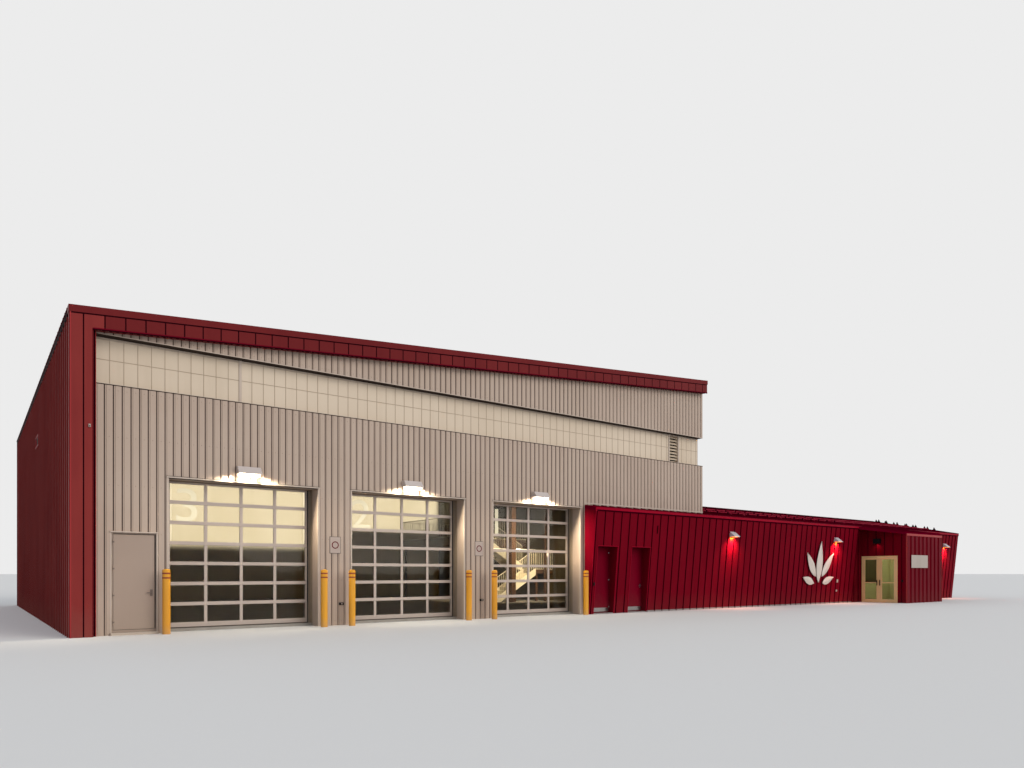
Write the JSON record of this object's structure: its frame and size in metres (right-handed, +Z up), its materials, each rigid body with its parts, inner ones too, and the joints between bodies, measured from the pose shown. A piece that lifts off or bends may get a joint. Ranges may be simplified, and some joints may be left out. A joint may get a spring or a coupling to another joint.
{
  "type": "fire station building, one-to-two scale model",
  "caption": "Fire station: mono-pitch hall with glazed bay doors and a clerestory band, low annex with canted red front, hinged side and entrance doors.",
  "frame": {"origin": "the hall's front left corner on the ground", "axes": "+X along the front from the hall to the annex, +Y into the building, +Z up"},
  "size_m": [22.912, 11.717, 4.716],
  "materials": {
    "concrete": "trowelled concrete",
    "red_metal": "satin crimson coated steel",
    "red_door_paint": "satin crimson paint",
    "bright_red_trim": "satin red coated steel",
    "roof_metal": "satin dark red coated steel",
    "beige_metal": "satin warm grey coated steel",
    "beige_paint": "satin warm grey paint",
    "brown_paint": "satin brown paint",
    "stair_paint": "satin off-white paint",
    "translucent_panel": "translucent glass fibre panel",
    "louver_metal": "dark coated louver blades",
    "door_aluminium": "anodised",
    "entrance_aluminium": "anodised",
    "clear_glass": "clear",
    "satin_steel": "satin",
    "lamp_metal": "brushed",
    "bollard_yellow": "gloss yellow sleeve"
  },
  "bodies": {
    "building": {"hall_floor": "concrete", "hall_front_piers": "beige_metal", "hall_wall_over_doors": "beige_metal", "hall_wall_over_bays": "beige_metal", "clerestory_panels": "translucent_panel", "clerestory_louver": "louver_metal", "left_wall_louver": "louver_metal", "hall_gable_wall": "beige_metal", "hall_left_wall": "red_metal", "hall_right_wall": "beige_metal", "hall_back_wall": "beige_metal", "hall_roof": "roof_metal", "corner_pilaster": "red_metal", "front_fascia": "red_metal", "fascia_cap": "red_metal", "hall_eave_trims": "red_metal", "bay_jambs": "beige_metal", "bay_heads": "beige_metal", "bay_door_1": "door_aluminium", "bay_door_2": "door_aluminium", "bay_door_3": "door_aluminium", "bay_glass": "clear_glass", "mezzanine_deck": "brown_paint", "mezzanine_columns": "brown_paint", "stair_flights": "stair_paint", "stair_rails": "stair_paint", "annex_door_piers": "red_metal", "annex_wall_over_doors": "red_metal", "annex_front_wall": "red_metal", "annex_right_wall": "red_metal", "annex_back_wall": "red_metal", "annex_floor": "concrete", "annex_roof_front": "roof_metal", "annex_roof_back": "roof_metal", "annex_eave_trim": "bright_red_trim", "snow_guards": "roof_metal", "entrance_front_wall": "red_metal", "entrance_side_walls": "red_metal", "entrance_wall_over_door": "red_metal", "entrance_roof": "roof_metal", "entrance_floor": "concrete", "man_door_frame": "beige_paint", "annex_door_1_frame": "red_metal", "annex_door_2_frame": "red_metal", "entrance_frame": "entrance_aluminium", "entrance_hinge_posts": "entrance_aluminium", "bay_lamps": "lamp_metal", "annex_lamps": "lamp_metal", "bollards": "bollard_yellow"},
    "man_door": {"man_door_leaf": "beige_paint", "man_door_hardware": "satin_steel"},
    "annex_door_1": {"annex_door_1_leaf": "red_door_paint", "annex_door_1_hardware": "satin_steel"},
    "annex_door_2": {"annex_door_2_leaf": "red_door_paint", "annex_door_2_hardware": "satin_steel"},
    "entrance_left": {"entrance_leaf_left": "entrance_aluminium", "entrance_glass_left": "clear_glass"},
    "entrance_right": {"entrance_leaf_right": "entrance_aluminium", "entrance_glass_right": "clear_glass"}
  },
  "joints": [
    {"name": "man_door_hinge", "type": "hinge", "parent": "building", "child": "man_door", "pos_m": [0.4525, -0.007, 0], "axis": [0, 0, -1], "range_deg": [0, 105]},
    {"name": "annex_door_1_hinge", "type": "hinge", "parent": "building", "child": "annex_door_1", "pos_m": [8.5745, -0.032, 0], "axis": [0, 0, 1], "range_deg": [0, 90]},
    {"name": "annex_door_2_hinge", "type": "hinge", "parent": "building", "child": "annex_door_2", "pos_m": [8.9845, -0.032, 0], "axis": [0, 0, -1], "range_deg": [0, 90]},
    {"name": "entrance_left_hinge", "type": "hinge", "parent": "building", "child": "entrance_left", "pos_m": [17.508, -0.1875, 0], "axis": [0, 0, -1], "range_deg": [0, 90]},
    {"name": "entrance_right_hinge", "type": "hinge", "parent": "building", "child": "entrance_right", "pos_m": [17.508, -1.0175, 0], "axis": [0, 0, 1], "range_deg": [0, 90]}
  ]
}
